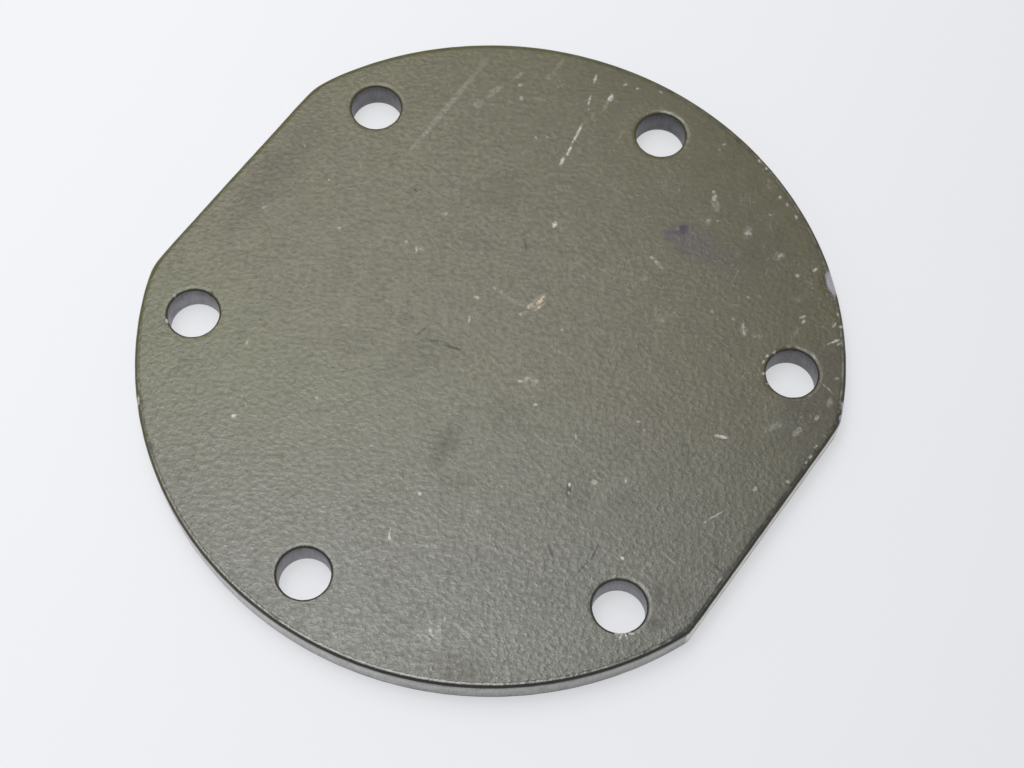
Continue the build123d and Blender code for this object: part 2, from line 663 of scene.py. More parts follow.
class Graph:
    """A node tree that is written as sums, blends and patterns."""

    def __init__(self, tree: bpy.types.NodeTree) -> None:
        """Starts an empty tree."""
        self.tree = tree
        tree.nodes.clear()

    def node(
        self,
        kind: str,
        settings: Mapping[str, Any] | None = None,
        inputs: Mapping[str | int, Any] | None = None,
    ) -> bpy.types.Node:
        """Adds a node.

        Args:
            kind: The node's type.
            settings: Its properties, set first.
            inputs: Values or links of its sockets, by identifier, name or number.

        Returns:
            The node.
        """
        made = self.tree.nodes.new(kind)
        for name, value in (settings or {}).items():
            setattr(made, name, value)
        for key, value in (inputs or {}).items():
            self._set_input(self._find(made.inputs, key), value)
        return made

    def first(self, kind: str, settings: Any = None, inputs: Any = None) -> Socket:
        """Adds a node as node() does, and gives its first output."""
        return self.node(kind, settings, inputs).outputs[0]

    @staticmethod
    def _find(sockets: Any, key: str | int) -> Socket:
        """Finds a socket by its identifier, or else by its number or name."""
        found = (socket for socket in sockets if socket.identifier == key)
        return next(found, None) or sockets[key]

    def _set_input(self, target: Socket, value: Any) -> None:
        """Links a socket or gives it a value.

        Args:
            target: The socket.
            value: A number, a colour, a vector or what is to be linked.
        """
        value = getattr(value, "socket", value)
        if isinstance(value, Socket):
            self.tree.links.new(value, target)
        elif target.type == "RGBA" and len(value) == 3:
            target.default_value = (*value, 1.0)
        else:
            target.default_value = value

    def places(self) -> tuple[Socket, Socket]:
        """Reads a point's place.

        Returns:
            The place in millimetres, and the same with 1 for its height.
        """
        coords = self.node("ShaderNodeTexCoord").outputs["Object"]
        place = self.vector("MULTIPLY", coords, (1 / MM, 1 / MM, 1 / MM))
        return place, self.vector("MULTIPLY_ADD", coords, (1 / MM, 1 / MM, 0.0), (0.0, 0.0, 1.0))

    def maths(self, operation: str, *values: "Num | float") -> Num:
        """Adds a Math node."""
        settings = {"operation": operation}
        return Num(self, self.first("ShaderNodeMath", settings, dict(enumerate(values))))

    def vector(self, operation: str, *values: Any) -> Socket:
        """Adds a Vector Math node that gives a vector."""
        settings = {"operation": operation}
        return self.first("ShaderNodeVectorMath", settings, dict(enumerate(values)))

    def dot(self, place: Any, axis: Point) -> Num:
        """Multiplies a place and a fixed axis, part by part, and adds up the products.

        Args:
            place: The place, as a vector.
            axis: The axis, as three numbers.

        Returns:
            Their dot product.
        """
        inputs = {0: place, 1: axis}
        made = self.node("ShaderNodeVectorMath", {"operation": "DOT_PRODUCT"}, inputs)
        return Num(self, made.outputs["Value"])

    def blend(self, share: "Num | float", under: Any, over: Any) -> Socket:
        """Lays a colour over another by a share.

        Args:
            share: 0 shows the lower colour alone, 1 the upper one.
            under: The lower colour.
            over: The upper colour.

        Returns:
            The socket of the blended colour.
        """
        inputs = {"Factor_Float": share, "A_Color": under, "B_Color": over}
        outputs = self.node("ShaderNodeMix", {"data_type": "RGBA"}, inputs).outputs
        return self._find(outputs, "Result_Color")

    def scaled(self, colour: Any, amount: Num) -> Socket:
        """Makes a colour lighter or darker by a number, with Vector Math."""
        inputs = {"Vector": colour, "Scale": amount}
        return self.first("ShaderNodeVectorMath", {"operation": "SCALE"}, inputs)

    def noise(
        self, place: Any, size: float, detail: float = 2.0, rough: float = 0.5, warp: float = 0.0
    ) -> Num:
        """Soft cloudy pattern about 0.5.

        Args:
            place: Where it is read, in millimetres.
            size: Size of its features in millimetres.
            detail: Number of finer layers.
            rough: Strength of each layer against the one before.
            warp: How much it is twisted.

        Returns:
            The pattern.
        """
        names = ("Vector", "Scale", "Detail", "Roughness", "Distortion")
        inputs = dict(zip(names, (place, 1.0 / size, detail, rough, warp)))
        return Num(self, self.first("ShaderNodeTexNoise", None, inputs))

    def carried(self, label: str) -> Num:
        """A number that the mesh carries at its points."""
        made = self.node("ShaderNodeAttribute", {"attribute_name": label})
        return Num(self, made.outputs["Fac"])

    def drawn_down(self, place: Any, share: float) -> Socket:
        """Shrinks a place's height to a share, which draws a pattern out down the walls."""
        inputs = {"Vector": place, "Scale": (1.0, 1.0, share)}
        return self.first("ShaderNodeMapping", {"vector_type": "POINT"}, inputs)

    def drawn_along(
        self, place: Any, degrees: float, length: float, width: float = 1.0, layer: float = 0.0
    ) -> Socket:
        """Draws a pattern on the face out along a direction.

        Args:
            place: Place on the face.
            degrees: Turn of the direction from +X.
            length: How many times the pattern is drawn out along it.
            width: How many times it is drawn out across it.
            layer: Height to read it at, so that two layers differ.

        Returns:
            The place to read the pattern at.
        """
        cos, sin = math.cos(math.radians(degrees)), math.sin(math.radians(degrees))
        along = self.dot(place, (cos / length, sin / length, 0.0))
        across = self.dot(place, (-sin / width, cos / width, 0.0))
        return self.first("ShaderNodeCombineXYZ", None, {0: along, 1: across, 2: layer})


def new_material(name: str) -> tuple[bpy.types.Material, Graph]:
    """Makes a material with an empty tree.

    Args:
        name: Name of the material.

    Returns:
        The material and its tree.
    """
    material = bpy.data.materials.new(name)
    material.use_nodes = True
    return material, Graph(material.node_tree)


# ---- Wear on the outer face ----


class Wear(Enum):
    """Kinds of mark on the paint."""

    SCRAPE = "pale scrape into the paint"
    RUB = "faint grey rub"
    CHIP = "paint gone to the metal"
    INK = "purple ink"
    TAN = "tan scuff"
    SOIL_AND_SHADE = "dark line or smudge"
    BROWN = "warm brown haze"
    HAZE = "cool grey haze"


@dataclass(frozen=True)
class Mark:
    """One mark: its middle, length and width in millimetres, its turn and its strength."""

    x: float
    y: float
    length: float
    width: float
    turn: float = 0.0
    strength: float = 1.0

    def axes(self) -> tuple[Point, Point]:
        """The mark's own axes, for a dot product with a place written as (x, y, 1).

        Returns:
            Two vectors: one gives the half lengths along the mark, one the half widths across.
        """
        cos, sin = math.cos(math.radians(self.turn)), math.sin(math.radians(self.turn))
        half, side = self.length / 2, self.width / 2
        along = (cos / half, sin / half, -(self.x * cos + self.y * sin) / half)
        across = (-sin / side, cos / side, (self.x * sin - self.y * cos) / side)
        return along, across


# Each row gives x, y, length and width in millimetres, the turn in degrees and the strength. A
# strength of 1 is left out, and so is a turn of 0 before it.
MARKS: dict[Wear, tuple[tuple[float, ...], ...]] = {
    Wear.CHIP: (
        (42.1, 45.7, 4.8, 2, 137), (56.7, 26.6, 2.2, 1.2, 117, 0.9),
        (57.4, 24.6, 1.6, 0.7, 100, 0.8),
    ),
    Wear.SCRAPE: (
        (41.9, 8.7, 0.9, 0.5, 30), (-27.5, -37.5, 0.6, 0.5), (41.4, -19.2, 0.5, 0.4),
        (57, 15, 0.9, 0.5, 90, 0.7), (-1.7, 57.7, 2.2, 0.4, 20, 0.45),
        (1.2, 57.9, 2, 0.35, 170, 0.4), (41.2, 28, 0.8, 0.5, 80, 0.45),
        (47.4, 31.4, 1.4, 0.3, 160, 0.5), (57.1, 13.6, 0.6, 0.4, 90, 0.7),
        (56.8, 17.2, 0.7, 0.4, 90, 0.6), (34, 29, 1.3, 0.5, 120, 0.6),
        (34.9, 28, 1.2, 0.5, 130, 0.6), (15.8, 30, 0.8, 0.4, 160, 0.4),
        (-16.7, 55.7, 2, 0.5, 108, 0.76), (-14.9, 51.3, 2.2, 0.4, 117, 0.76),
        (-13.8, 49.5, 1, 0.3, 110, 0.39), (-12.5, 43.8, 4.6, 0.5, 101, 0.85),
        (-11.6, 40, 2.3, 0.5, 101), (-11.4, 37.5, 2, 0.6, 105), (-12, 54, 1.7, 0.8, 100),
        (-11.4, 58, 0.9, 0.6, 60, 0.55), (-9.1, 58.6, 0.7, 0.5, 20, 0.55),
        (-5.2, 60.6, 0.8, 0.4, 0, 0.55), (-27.2, 46.2, 0.9, 0.7, 0, 0.55),
        (-25.3, 44.1, 0.9, 0.9, 0, 0.62), (-18.2, 38.7, 0.6, 0.6, 0, 0.55),
        (-16.5, 40, 0.6, 0.5, 0, 0.47), (10.7, 58.2, 0.7, 0.5, 40, 0.55),
        (10.5, 56.7, 0.6, 0.4, 90, 0.47), (25, 54.9, 0.8, 0.5, 120, 0.62),
        (26.9, 54.4, 0.9, 0.5, 140, 0.62), (29.6, 53.2, 0.8, 0.4, 140, 0.55),
        (25.6, 50.8, 0.7, 0.5, 0, 0.55), (15.4, 47.8, 1.4, 0.9, 110, 0.6),
        (14.6, 48.6, 0.7, 0.5, 90, 0.7), (17, 43.2, 0.5, 0.4, 0, 0.55),
        (18.5, 44.1, 0.5, 0.4, 0, 0.55), (24.4, 45.2, 1.2, 0.8, 30, 0.5),
        (31.6, 44.8, 0.9, 0.5, 60, 0.5), (38.2, 46.1, 1.2, 0.5, 68, 0.62),
        (36.3, 43.2, 0.8, 0.7, 0, 0.62), (41.5, 36.8, 1.2, 0.6, 60, 0.7),
        (42.1, 36.1, 1, 0.5, 80, 0.7), (46.9, 38.8, 1.3, 0.4, 90, 0.62),
        (48, 39.3, 1, 0.5, 60, 0.7), (46.3, 40.9, 0.8, 0.4, 130, 0.62),
        (48.7, 36.2, 1.8, 0.5, 58, 0.85), (49.5, 36.1, 0.9, 0.4, 60, 0.62),
        (48.1, 35.1, 0.8, 0.4, 60, 0.55), (31.6, 34.4, 0.6, 0.5, 0, 0.55),
        (13.2, 30.8, 0.7, 0.5, 0, 0.55), (14.4, 30.5, 0.6, 0.5, 0, 0.55),
        (31.8, 29.2, 0.7, 0.5, 0, 0.55), (27.9, 28.2, 0.6, 0.5, 0, 0.55),
        (22.6, 24, 0.6, 0.5, 0, 0.47), (5.6, 20.4, 0.7, 0.5, 0, 0.55),
        (8.5, 9.4, 0.6, 0.5, 0, 0.55), (-4.8, 25.9, 1.3, 0.8, 110),
        (-22.1, 15.9, 1.3, 0.6, 50, 0.62), (-24.2, 7.1, 1, 0.6, 110, 0.62),
        (-21.8, 7, 1.7, 0.5, 130, 0.66), (-21.1, 7.6, 1.2, 0.4, 10, 0.47),
        (-5.8, 1.4, 1.4, 0.5, 125, 0.7), (-7.3, 5.7, 1.2, 0.5, 10, 0.62),
        (-6, 9.1, 0.7, 0.5, 0, 0.55), (-4.5, 9.1, 0.6, 0.5, 0, 0.55),
        (-35.7, 2.3, 0.9, 0.7, 0, 0.62), (-51.4, 12.1, 0.8, 0.5, 150, 0.47),
        (-43.4, 9, 0.6, 0.5, 0, 0.47), (-49.2, -2.3, 1.3, 0.6, 60, 0.39),
        (-34.6, -25.3, 1, 0.4, 110, 0.62), (-27.6, -37.7, 0.8, 0.7),
        (-18.1, -26.5, 0.9, 0.6, 0, 0.7), (-4.9, -27.9, 0.7, 0.5, 0, 0.62),
        (-22.8, -12.4, 1, 0.4, 45, 0.47), (13.2, -5.1, 0.7, 0.5), (8.5, -2.9, 0.8, 0.6, 30),
        (9.1, -1.9, 1, 0.6, 60, 0.62), (10.8, -1.5, 1.2, 0.7, 100, 0.47),
        (22.3, -5.7, 1.3, 0.25, 130, 0.55), (18.6, -9.8, 2.4, 0.3, 4, 0.38),
        (26.6, -13.8, 0.9, 0.5, 125), (27.4, -15, 0.7, 0.4, 125, 0.62),
        (29.8, -10.9, 1.2, 1, 0, 0.62), (28.5, -9.2, 0.5, 0.4, 0, 0.62), (41.4, -19.3, 0.7, 0.6),
        (49.9, -3.6, 3.6, 0.25, 68, 0.66), (49.1, -5.7, 0.5, 0.5, 0, 0.62),
        (33.9, -7.4, 1.2, 0.5, 125, 0.62), (56.8, -12.8, 1.6, 0.4, 90, 0.57),
        (7.5, -39.3, 1.7, 0.4, 128), (6.9, -38.3, 0.6, 0.3, 110, 0.62),
        (9.3, -43, 0.6, 0.4, 120, 0.47), (23.4, -48.7, 1.9, 0.6, 152),
        (24, -47.5, 1.1, 0.6, 0, 0.55), (22.5, -50.5, 2, 0.5, 165, 0.66),
        (23.8, -45.6, 0.9, 0.5, 110, 0.55), (7, -30.2, 0.8, 0.6), (16.9, -26.9, 0.7, 0.5, 0, 0.62),
        (42.8, 9.1, 1.9, 0.5, 27), (54.2, 25.6, 1.8, 1, 100, 0.3), (52.7, 17.6, 2.3, 1.2, 80, 0.29),
        (54, 21.8, 1.2, 0.6, 90, 0.55), (52.8, 30.2, 0.9, 0.6, 45, 0.28),
        (52.6, 4.4, 1, 0.7, 90, 0.55), (56.4, 8.8, 0.7, 0.6, 0, 0.55),
        (52.3, 27.7, 3.2, 0.3, 168, 0.5), (29.4, 2.9, 0.7, 0.5, 0, 0.62),
        (31.2, 2.2, 0.6, 0.4, 0, 0.55), (40.6, 26.6, 0.7, 0.5, 90, 0.7),
        (40.7, 25.3, 0.9, 0.4, 80, 0.7), (41.9, 23.4, 0.8, 0.5, 60, 0.7),
        (43.6, 22.3, 0.8, 0.4, 30, 0.7), (-48.7, -30.4, 0.9, 0.6, 150),
        (-50.7, -25.8, 0.6, 0.5, 90, 0.7), (49.4, -29.9, 1.8, 0.4, 150),
        (49.9, -29.3, 1.4, 0.35, 20), (48.6, -30.4, 1.8, 0.4, 35), (49, -30.6, 1.4, 0.3, 95),
        (-42.8, -45.2, 1.9, 0.5, 128), (17.8, 59.1, 0.8, 0.5, 160, 0.7),
        (19.7, 58.5, 0.7, 0.5, 160, 0.7),
    ),
    Wear.SOIL_AND_SHADE: (
        (37.1, -21.2, 3.6, 0.35, 100, 0.65), (37, -24.6, 3, 0.3, 86, 0.6),
        (31, -25.4, 2.8, 0.5, 145, 0.5), (26.9, -14.4, 2.8, 0.9, 125, 0.7),
        (5.2, -20.2, 8.5, 4, 100, 0.13), (5, -18.2, 3, 2, 120, 0.11),
        (53, -8.6, 3.4, 1.4, 140, 0.35), (55.2, -11.3, 3.2, 0.5, 175, 0.7),
        (40.2, 2.4, 3.6, 0.5, 122, 0.35), (38.7, 4, 1.2, 0.6, 120, 0.35),
        (14.4, 39.1, 1.5, 1.2, 10, 0.75), (14.6, 38.2, 1.6, 0.6, 20, 0.4),
        # The marks at (42.7, 29.7) and (43.9, 30.6) are painted shade in nicks on the rim of the
        # bolt hole at 30 degrees.
        (17.4, 35, 1.2, 0.4, 45, 0.3), (42.7, 29.7, 0.9, 0.6, 40, 0.8),
        (43.9, 30.6, 0.8, 0.5, 20, 0.8), (52.4, -25.6, 3.2, 2.4, 30, 0.24),
        (49.8, -20.8, 4, 1.6, 125, 0.24), (-5, -4.8, 3.4, 0.5, 20, 0.6),
        (-8.2, -5.6, 2.4, 0.5, 30, 0.5), (-11.2, -5.4, 2.2, 0.6, 80, 0.5),
        (-15, -5.2, 3.2, 2.4, 70, 0.2), (-6.6, 19.4, 2.6, 0.4, 135, 0.6),
        (-29.2, 16.6, 0.9, 0.6, 0, 0.6), (-17, 25.5, 12, 8, 40, 0.1),
        (-35.6, -50.4, 1.8, 0.9, 170, 0.6), (57, -3, 2.4, 0.6, 90, 0.6),
        (56.9, -11.5, 5, 0.5, 90, 0.6),
    ),
    Wear.RUB: (
        (16.4, 46.6, 3, 1.6, 140, 0.9), (24.3, 45.3, 2.6, 1.8, 110, 0.9),
        (31.4, 44.5, 2.6, 1.4, 60, 0.9), (34.5, 28.3, 2.4, 1.3, 130, 0.9),
        (37, 28.8, 2, 0.7, 30, 0.9), (14.6, 30.5, 3.2, 0.9, 165, 0.9),
        (25.2, 40.4, 1.6, 0.9, 120, 0.6), (17.2, 42.8, 2.6, 0.9, 100, 0.6),
        (14.4, 26.5, 1.8, 1.2, 60, 0.6), (8.3, 24, 2, 1.2, 30, 0.5), (-11.8, 52.2, 4, 0.9, 97, 0.6),
        (-12.4, 48.7, 2, 0.7, 100, 0.6), (-28.6, 47.8, 3, 0.8, 80, 0.9),
        (-30.2, 42.4, 4, 1.3, 75, 0.9), (-23.9, 54, 4.2, 0.7, 92, 0.8),
        (-24, 50.8, 1.4, 0.8, 90, 0.9), (-22.6, 45.9, 2.6, 0.8, 20, 0.9),
        (-5.8, 48.3, 3.6, 0.5, 92, 0.6), (-18, 34.6, 2, 0.5, 100, 0.6),
        (-35.3, 34.5, 26, 1.1, 90.5, 0.9), (-35.6, 46, 2.4, 1.6, 90, 0.6),
        (-31, 38.4, 2.6, 1.6, 85, 0.8), (38.7, 39.2, 1.5, 1.1, 0, 0.7),
        (42.2, 33.5, 3, 0.6, 88, 0.6), (33.2, 35.6, 1.3, 0.5, 0, 0.6),
        (21.5, 21.4, 2.2, 1.4, 40, 0.6), (34.7, 28.5, 1.6, 1.2, 0, 0.7),
        (11.6, 5.7, 7, 0.5, 2, 0.5), (17, 5.6, 2, 0.5, 0, 0.5), (-1.8, 9, 4.5, 0.9, 5, 0.7),
        (-13.8, 17.4, 1.1, 0.7, 0, 0.7), (-10.9, 18, 0.9, 0.6, 120, 0.7),
        (-12, 13.3, 0.8, 0.5, 0, 0.7), (-48, -11.3, 2.2, 0.7, 130, 0.5),
        (-45.3, -41.5, 2, 0.6, 50, 0.7), (10, -2.3, 3.4, 2.4, 20, 0.7),
        (16.5, -27.2, 3.4, 1.6, 130, 0.7), (18.2, -29.2, 1.6, 0.9, 110, 0.5),
        (23.2, -48.6, 6, 4, 110, 0.45), (27.8, -45.2, 3, 1.2, 170, 0.6),
        (15, -36.2, 1.8, 0.9, 130, 0.5), (4, -33.2, 1, 0.7, 60, 0.5), (49.3, -14.5, 1, 0.9, 0, 0.7),
        (34.6, -40.2, 2, 1.2, 60, 0.5), (48.9, 16, 3.6, 1.4, 60, 0.8), (49.6, 38, 7, 1.2, 126, 0.5),
        (46, 31.6, 4, 0.8, 8, 0.4),
    ),
    Wear.INK: (
        (14.5, 39, 2.4, 1.7, 100, 0.95), (14.3, 37.9, 3.2, 1.3, 30, 0.66),
        (13.2, 36.6, 2.6, 3.2, 60, 0.5), (15.6, 37.8, 6, 4.6, 0, 0.36),
        (17.2, 35.6, 5, 1.6, 15, 0.34), (18, 38, 9, 6, 165, 0.28),
        (19.6, 38.6, 13.5, 6.4, 172, 0.2),
    ),
    Wear.TAN: (
        (2, 12, 2.4, 0.9, 95), (2.7, 10.7, 2.4, 0.5, 70, 0.8), (1.3, 10.2, 2, 0.6, 80, 0.9),
        (1.9, 11, 4.4, 2, 80, 0.2), (1.1, 7.9, 1.6, 0.7, 60, 0.5),
    ),
    Wear.BROWN: (
        # Darker, browner patches; the largest four, at (51.5, 25), (51.5, -22), (31, -51) and (-52,
        # 4), darken the paint by the rim.
        (51.5, 25, 23, 12, 105), (51.5, -22, 12, 7, 60, 0.4), (31, -51, 10, 6, 20, 0.45),
        (-52, 4, 30, 8, 90, 0.4), (-8, -8, 12, 7, 40, 0.25), (28, 42, 16, 9, 90, 0.45),
        (24, 50, 8, 5, 150, 0.25), (54, 33, 16, 6, 110, 0.4), (29, -13.5, 9, 4, 100, 0.3),
        (10.5, -9.5, 8, 6, 0, 0.25), (10.5, -25.5, 6, 4, 30, 0.3), (5, -20.5, 10, 5, 95, 0.3),
        (-10, -12, 8, 6, 60, 0.25), (-20, -14, 9, 6, 40, 0.17), (-41, -36, 6, 3, 90, 0.25),
        (-15, 14, 14, 5, 20, 0.2), (36, -11, 7, 4, 50, 0.25), (56, 2, 22, 3, 90, 0.2),
        (-29.5, -5.5, 5, 4, 60, 0.2),
    ),
    Wear.HAZE: (
        (50, 16.6, 5, 3, 60, 0.7), (54.2, 13.6, 4, 3, 90, 0.5), (-25, 21, 10, 6, 130, 0.2),
        (-10, -2.5, 5, 3, 0, 0.25), (-44, 14, 10, 5, 60, 0.2),
    ),
}


# ---- Finish ----


@dataclass(frozen=True)
class Satin:
    """Olive-drab satin paint with a leathery skin, drawn out a little in the rolling of the sheet.

    Part of it is painted light and shade. Two numbers say how much painted shade darkens the paint:
    towards the outer rim, and along the +X flat's edge.
    """

    olive: Colour = (0.0775, 0.0705, 0.0185)
    # A deeper olive, laid on at random and as painted shade towards +X.
    deep_shaded_olive: Colour = (0.064, 0.057, 0.020)
    warm: Colour = (0.046, 0.040, 0.016)
    green: Colour = (0.0765, 0.0775, 0.0215)
    cool: Colour = (0.065, 0.066, 0.0443)
    # Pale colour of a highlight painted on the ridge inside the rims.
    ridge_highlight: Colour = (0.20, 0.195, 0.16)
    # Near black of painted shade: on the steep roll, towards the outer rim and along the +X flat's
    # edge.
    roll_shade: Colour = (0.010, 0.009, 0.007)
    # How much painted shade darkens the paint towards the outer rim.
    rim_shade: float = 0.20
    # How much painted shade darkens the paint along the +X flat's edge.
    painted_shading: float = 0.38
    roughness: float = 0.29
    refraction: float = 1.6
    skin_size: float = 0.80
    skin_height: float = 0.079
    rolling_turn: float = 34.0
    rolling_stretch: float = 1.20


@dataclass(frozen=True)
class Stains:
    """Colours of what lies on the paint or shows through it, and how thickly some of it lies."""

    chip: Colour = (0.50, 0.475, 0.52)
    scuff: Colour = (0.34, 0.33, 0.28)
    rub: Colour = (0.36, 0.35, 0.30)
    ink: Colour = (0.024, 0.009, 0.046)
    soil_and_shade: Colour = (0.012, 0.011, 0.009)
    tan_ground: Colour = (0.13, 0.10, 0.05)
    tan_fibre: Colour = (0.62, 0.51, 0.34)
    scrape: Colour = (0.58, 0.57, 0.52)
    rub_share: float = 0.42
    soil_and_shade_share: float = 0.90
    tan_share: float = 0.85


@dataclass(frozen=True)
class BareSteel:
    """Steel as the press leaves it on the walls. The +X flat's wall is paler, a painted light, and
    the bolt holes' walls are darker by painted shade and a little purple.
    """

    wall: Colour = (0.46, 0.453, 0.44)
    pale: Colour = (0.54, 0.525, 0.45)
    broken: Colour = (0.26, 0.25, 0.245)
    bore: Colour = (0.305, 0.295, 0.312)
    roughness: float = 0.46
    streak_height: float = 0.030
    torn_height: float = 0.07
    chip_depth: float = 0.05


@dataclass(frozen=True)
class PaintedSteel:
    """The plate's whole finish: paint on the faces, bare steel on the sheared walls, wear.

    Marks are drawn a few at once, and each lot starts from a place moved aside a hair by the lot
    before, so that the lots are worked out one after another. ragged and drift say how far noise
    shakes the edges of marks and of hazes, and scrapes fainter than faint_below are soft.
    """

    name: str = "olive_painted_steel"
    paint: Satin = Satin()
    stains: Stains = Stains()
    steel: BareSteel = BareSteel()
    marks_at_once: int = 8
    skip_aside: float = 0.03
    ragged: float = 0.7
    drift: float = 6.0
    faint_below: float = 0.75

    def build(self, sizes: PlateSizes) -> bpy.types.Material:
        """Builds the material.

        Args:
            sizes: The plate's sizes.

        Returns:
            The material.
        """
        material, graph = new_material(self.name)
        shader = PaintJob(self, graph, sizes).shader()
        graph.node("ShaderNodeOutputMaterial", None, {"Surface": shader})
        return material


class PaintJob:
    """The plate's finish as nodes, and what all of them know of a point.

    place is in millimetres, and flat is the same with 1 for its height. across and height are its
    x and z, inset says how far in from the wall the point lies, bore is 1 round a bolt hole, and
    upper masks all that is above the broken band. top is the outer face's height, and side how
    far out the flats are.
    """

    def __init__(self, finish: PaintedSteel, graph: Graph, sizes: PlateSizes) -> None:
        """Reads the point, and draws the masks and patterns that several parts use.

        Args:
            finish: The finish.
            graph: The tree.
            sizes: The plate's sizes.
        """
        self.finish, self.graph = finish, graph
        self.paint, self.stains, self.steel = finish.paint, finish.stains, finish.steel
        self.top, self.side = sizes.thickness, sizes.flat_distance
        self.place, self.flat = graph.places()
        self.across = self.slope(1.0, 0.0)
        apart = graph.node("ShaderNodeSeparateXYZ", None, {0: self.place})
        self.height = Num(graph, apart.outputs[2])
        self.inset = graph.carried("inset")
        self.bore = graph.carried("bore")
        self.outer = self.height.step(self.top - 1.0, self.top - 0.6)
        self.upper = self.height.step(1.0, 1.6)
        self.masks = self.mark_masks()
        self.bare = self.bare_mask()
        paint = self.paint
        self.rolling = graph.drawn_along(self.flat, paint.rolling_turn, paint.rolling_stretch)
        self.skin = graph.noise(self.rolling, paint.skin_size, 3.0, 0.52)
        self.ridge = self.ridge_mask()
        self.crumbs = self.noise(0.50, 4.0, 0.70, 0.5)
        self.broken = self.crumbs.step(0.36, 0.60)

    def slope(self, across: float, along: float, level: float = 0.0) -> Num:
        """across * x + along * y + level, which changes evenly over the face."""
        return self.graph.dot(self.flat, (across, along, level))

    def noise(self, size: float, detail: float, rough: float = 0.5, warp: float = 0.0) -> Num:
        """Cloudy pattern on the face, the same all the way down."""
        return self.graph.noise(self.flat, size, detail, rough, warp)

    def shader(self) -> Socket:
        """Puts the colour, gloss and relief together.

        Returns:
            The shader.
        """
        graph, bare, chip = self.graph, self.bare, self.masks[Wear.CHIP]
        colour = self.paint_colour()
        metal_colour = self.metal_colour()
        colour = graph.blend(chip, colour, self.stains.chip)
        rough = self.paint_roughness()
        grain = graph.noise(graph.drawn_down(self.place, 0.12), 0.35, 2.0)
        steel_rough = self.steel.roughness + 0.18 * (grain - 0.5)
        bump = {"Strength": 1.0, "Distance": MM, "Height": self.relief()}
        inputs = {
            "Base Color": graph.blend(bare, colour, metal_colour),
            "Roughness": rough + bare * (steel_rough - rough),
            "Metallic": bare.larger(0.7 * chip),
            "IOR": self.paint.refraction,
            "Normal": graph.first("ShaderNodeBump", None, bump),
        }
        return graph.first("ShaderNodeBsdfPrincipled", None, inputs)

    def mark_masks(self) -> dict[Wear, Num]:
        """Draws every kind of mark as one mask on the outer face.

        A mark is an ellipse. Two dot products give how far a place lies along and across it, in
        half lengths and half widths, and its edge is where their squares add up to 1. The place
        is first shaken by noise, which makes the edge ragged.

        Returns:
            A mask for each kind.
        """
        graph, finish = self.graph, self.finish
        inputs = {"Vector": self.flat, "Scale": 1.7, "Detail": 4.0, "Roughness": 0.65}
        shake = graph.node("ShaderNodeTexNoise", None, inputs).outputs["Color"]
        shake = graph.vector("SUBTRACT", shake, (0.5, 0.5, 0.5))
        near, far = (
            graph.vector("MULTIPLY_ADD", shake, (reach, reach, 0.0), self.flat)
            for reach in (finish.ragged, finish.drift)
        )
        aside = (finish.skip_aside, -finish.skip_aside, 0.0)
        masks = {}
        older: Num | None = None
        for kind, rows in MARKS.items():
            total: Num | None = None
            for number, row in enumerate(rows):
                mark = Mark(*row)
                if number % finish.marks_at_once == 0:
                    start = far if kind in (Wear.BROWN, Wear.HAZE) else near
                    if older is not None:
                        start = graph.vector("MULTIPLY_ADD", older, aside, start)
                lengthwise, crosswise = (graph.dot(start, axis) for axis in mark.axes())
                away = graph.maths("MULTIPLY_ADD", crosswise, crosswise, lengthwise * lengthwise)
                soft = kind in (Wear.BROWN, Wear.HAZE, Wear.RUB)
                soft = soft or (kind is Wear.SCRAPE and mark.strength < finish.faint_below)
                shape = away.step(1.6, 0.0 if soft else 0.3, mark.strength)
                total = shape if total is None else total.larger(shape)
                if number % finish.marks_at_once == finish.marks_at_once - 1:
                    older = total
            older = total
            masks[kind] = total * self.outer
        return masks

    def bare_mask(self) -> Num:
        """Where the wall is bare steel: below the torn edge of the paint, above the foot.

        Returns:
            The mask.
        """
        ragged = self.graph.noise(self.place, 0.8, 3.0, 0.6) - 0.5
        line = self.top - 0.55 + (0.30 + 0.65 * self.bore) * ragged + 0.08 * self.bore
        below = (self.height - line).step(0.05, -0.05)
        foot = (self.height - 0.06 + 0.2 * ragged).step(-0.05, 0.05)
        return below * foot.larger(self.bore)

    def ridge_mask(self) -> Num:
        """Painted highlight on the ridge inside the rims, glossier and smoother there too; least
        towards -X.

        Returns:
            The mask.
        """
        # Painted highlight: none at -X, full from x = -16 on, and all round the bolt holes.
        highlit_side = self.across.step(-56.0, -16.0).larger(self.bore)
        ridge = self.inset.step(0.95, 0.78) * self.inset.step(0.46, 0.58) * self.outer
        return ridge * (1.0 - 0.7 * self.bore) * highlit_side

    def paint_colour(self) -> Socket:
        """Colours the paint: its tones, painted light and shade at its rims, what lies on it, its
        scrapes.

        Returns:
            The colour.
        """
        colour = self.stained_colour(self.rim_colour(self.ground_colour()))
        # Painted shade: the steep roll is darkened nearly to black, most towards +X and -Y, and
        # evenly round the bolt holes.
        roll_shade = self.inset + self.slope(-0.0016, 0.0022, 0.04) + 0.05 * self.bore
        roll_shade = roll_shade.step(0.47, 0.27) * self.upper
        share = self.slope(0.019, 0.0, 0.615).larger(0.12).smaller(1.0)
        share = share * self.slope(0.0, -0.006, 0.72).smaller(1.0)
        roll_shade = roll_shade * (share + self.bore * (0.70 - share))
        colour = self.graph.blend(roll_shade, colour, self.paint.roll_shade)
        scrape = self.masks[Wear.SCRAPE] * (0.25 + 0.75 * self.broken)
        return self.graph.blend(scrape, colour, self.stains.scrape)

